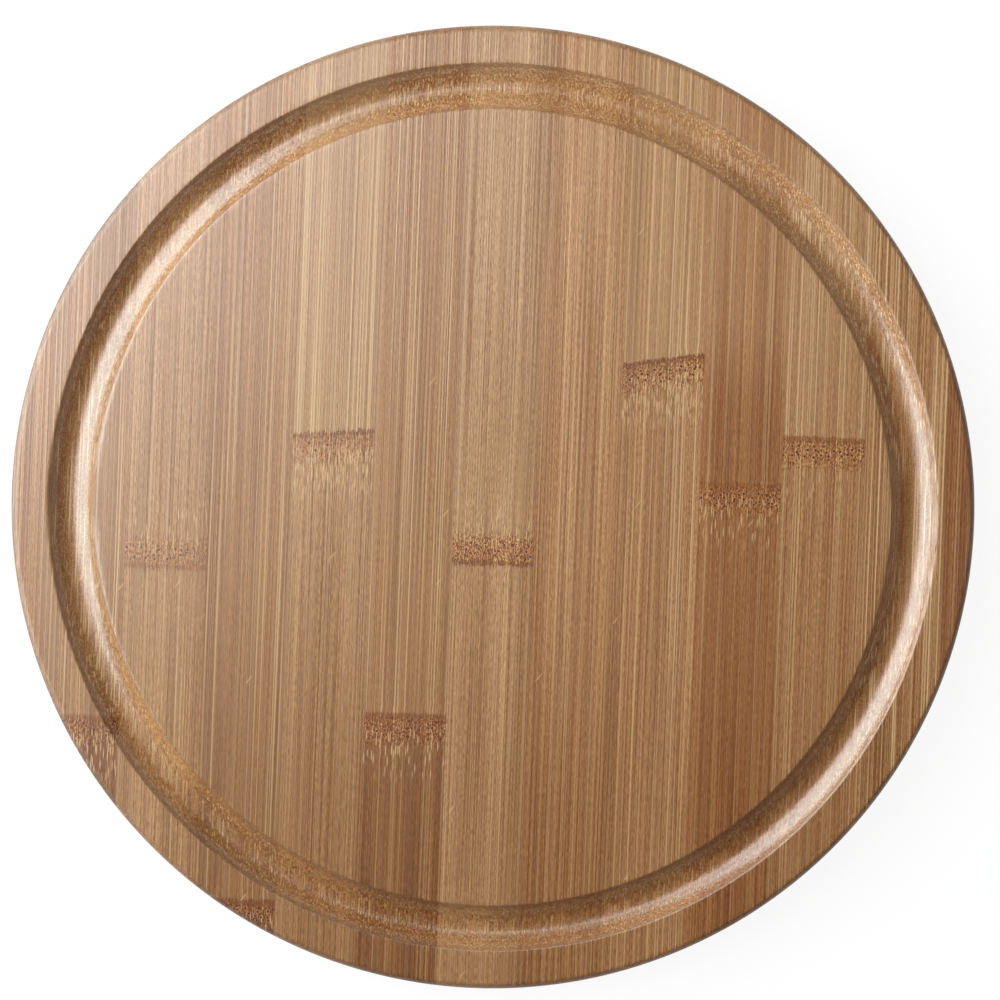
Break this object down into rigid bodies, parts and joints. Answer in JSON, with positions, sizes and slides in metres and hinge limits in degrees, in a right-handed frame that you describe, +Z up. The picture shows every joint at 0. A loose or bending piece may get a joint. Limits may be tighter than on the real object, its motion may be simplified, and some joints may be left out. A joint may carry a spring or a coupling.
{
  "type": "round serving board",
  "caption": "Round laminated bamboo serving board with a round-bottomed groove inside its rim, which catches juice and crumbs or seats the edge of a cover.",
  "frame": {"origin": "centre of the underside", "axes": "+Z up through the thickness, towards the grooved face; the strips of the top and bottom plies run along Y, those of the core along X"},
  "size_m": [0.3, 0.3, 0.02],
  "materials": {
    "bamboo_pale": "sanded and oiled bamboo, palest strips",
    "bamboo_rosy": "sanded and oiled bamboo, pinkish strips",
    "bamboo_tan": "sanded and oiled bamboo, tan strips",
    "bamboo_brown": "sanded and oiled bamboo, brown strips",
    "bamboo_dark": "sanded and oiled bamboo, darkest strips"
  },
  "bodies": {
    "root": {"top_strip_left_1": "bamboo_tan", "top_strip_left_2": "bamboo_pale", "top_strip_left_3": "bamboo_rosy", "top_strip_left_4": "bamboo_pale", "top_strip_left_5": "bamboo_rosy", "top_strip_left_6": "bamboo_rosy", "top_strip_middle": "bamboo_pale", "top_strip_right_1": "bamboo_tan", "top_strip_right_2": "bamboo_tan", "top_strip_right_3": "bamboo_brown", "top_strip_right_4": "bamboo_tan", "top_strip_right_5": "bamboo_tan", "top_strip_right_6": "bamboo_dark", "core_strip_near_1": "bamboo_tan", "core_strip_near_2": "bamboo_pale", "core_strip_near_3": "bamboo_tan", "core_strip_near_4": "bamboo_brown", "core_strip_near_5": "bamboo_tan", "core_strip_near_6": "bamboo_pale", "core_strip_far_1": "bamboo_tan", "core_strip_far_2": "bamboo_brown", "core_strip_far_3": "bamboo_tan", "core_strip_far_4": "bamboo_pale", "core_strip_far_5": "bamboo_tan", "core_strip_far_6": "bamboo_brown", "bottom_strip_left_1": "bamboo_pale", "bottom_strip_left_2": "bamboo_tan", "bottom_strip_left_3": "bamboo_pale", "bottom_strip_left_4": "bamboo_brown", "bottom_strip_left_5": "bamboo_rosy", "bottom_strip_left_6": "bamboo_tan", "bottom_strip_right_1": "bamboo_tan", "bottom_strip_right_2": "bamboo_rosy", "bottom_strip_right_3": "bamboo_brown", "bottom_strip_right_4": "bamboo_pale", "bottom_strip_right_5": "bamboo_tan", "bottom_strip_right_6": "bamboo_pale"}
  },
  "joints": []
}
